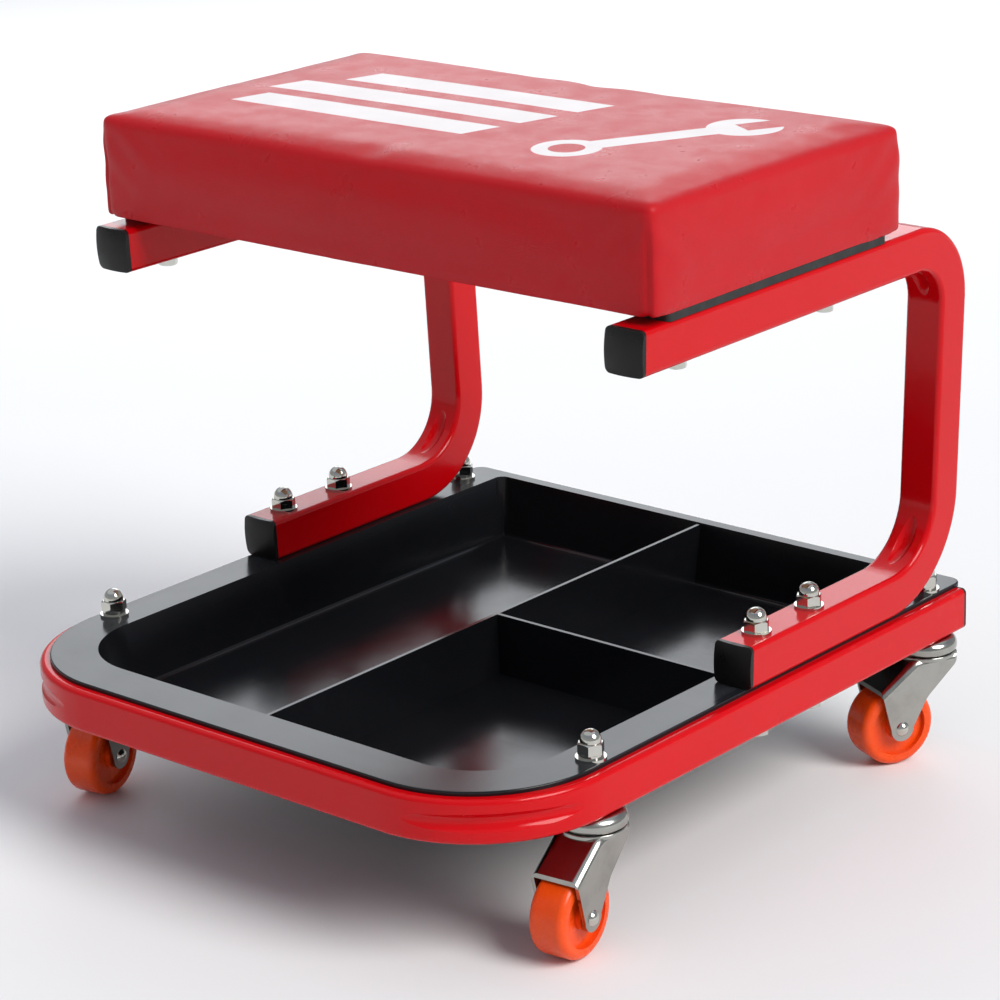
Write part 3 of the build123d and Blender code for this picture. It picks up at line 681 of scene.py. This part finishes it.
def studio_world(strength):
    """Grey below, white at the horizon and pale blue above."""
    world = bpy.data.worlds.new("studio")
    world.use_nodes = True
    tree = world.node_tree
    tree.nodes.clear()
    out = tree.nodes.new("ShaderNodeOutputWorld")
    back = tree.nodes.new("ShaderNodeBackground")
    ramp = tree.nodes.new("ShaderNodeValToRGB")
    split = tree.nodes.new("ShaderNodeSeparateXYZ")
    place = tree.nodes.new("ShaderNodeTexCoord")
    remap = tree.nodes.new("ShaderNodeMapRange")
    remap.inputs["From Min"].default_value = -1.0
    tree.links.new(place.outputs["Generated"], split.inputs[0])
    tree.links.new(split.outputs["Z"], remap.inputs["Value"])
    tree.links.new(remap.outputs[0], ramp.inputs[0])
    tree.links.new(ramp.outputs[0], back.inputs[0])
    tree.links.new(back.outputs[0], out.inputs[0])
    stops = ramp.color_ramp.elements
    stops[0].position, stops[0].color = 0.0, colour(0.30, 0.30, 0.30)
    stops[1].position, stops[1].color = 1.0, colour(0.62, 0.70, 0.85)
    for position, shade in ((0.49, (0.9, 0.9, 0.9)), (0.56, (1.0, 1.0, 1.0)), (0.72, (0.80, 0.86, 0.98))):
        stops.new(position).color = colour(*shade)
    back.inputs[1].default_value = strength
    return world


scene.world = studio_world(0.42)


def area_light(name, place, aim, width, height, watts, tint):
    light = bpy.data.lights.new(name, "AREA")
    light.shape = "RECTANGLE"
    light.size = width
    light.size_y = height
    light.energy = watts
    light.color = tint
    obj = bpy.data.objects.new(name, light)
    obj.location = place
    obj.rotation_mode = "QUATERNION"
    obj.rotation_quaternion = (Vector(aim) - Vector(place)).to_track_quat("-Z", "Y")
    scene.collection.objects.link(obj)


def sun_light(name, toward, strength, spread, tint=(1, 1, 1)):
    light = bpy.data.lights.new(name, "SUN")
    light.energy = strength
    light.angle = radians(spread)
    light.color = tint
    obj = bpy.data.objects.new(name, light)
    obj.rotation_mode = "QUATERNION"
    obj.rotation_quaternion = Vector(toward).to_track_quat("Z", "Y")
    scene.collection.objects.link(obj)


middle = (cad_low + cad_high) / 2
sun_light("key", (1.0, 0.05, 0.85), 2.9, 34, (1.0, 0.985, 0.96))
sun_light("fill", (-0.25, 0.1, 1.0), 0.55, 90)
area_light("back_panel", (-1.65, 1.85, 1.15), middle, 1.5, 1.1, 11, (0.94, 0.97, 1.0))

CAMERA_AZIMUTH, CAMERA_ELEVATION, CAMERA_ROLL = radians(41.32), radians(18.694), radians(-2.028)
CAMERA_DISTANCE = 1.82302
CAMERA_TARGET = Vector((0.060054, -0.050168, 0.2))
CAMERA_LENS = 119.67
right = Vector((cos(CAMERA_AZIMUTH), sin(CAMERA_AZIMUTH), 0))
level = cos(CAMERA_ELEVATION)
backward = Vector((sin(CAMERA_AZIMUTH) * level, -cos(CAMERA_AZIMUTH) * level, sin(CAMERA_ELEVATION)))
upward = backward.cross(right)
axis_x = right * cos(CAMERA_ROLL) + upward * sin(CAMERA_ROLL)
axis_y = upward * cos(CAMERA_ROLL) - right * sin(CAMERA_ROLL)
camera_data = bpy.data.cameras.new("camera")
camera_data.lens = CAMERA_LENS
camera_data.sensor_width = 36
camera_data.clip_start, camera_data.clip_end = 0.05, 50
camera = bpy.data.objects.new("camera", camera_data)
camera.matrix_world = Matrix.Translation(CAMERA_TARGET + backward * CAMERA_DISTANCE) @ Matrix(
    (axis_x, axis_y, backward)
).transposed().to_4x4()
scene.collection.objects.link(camera)
scene.camera = camera
scene.view_settings.view_transform = "Standard"
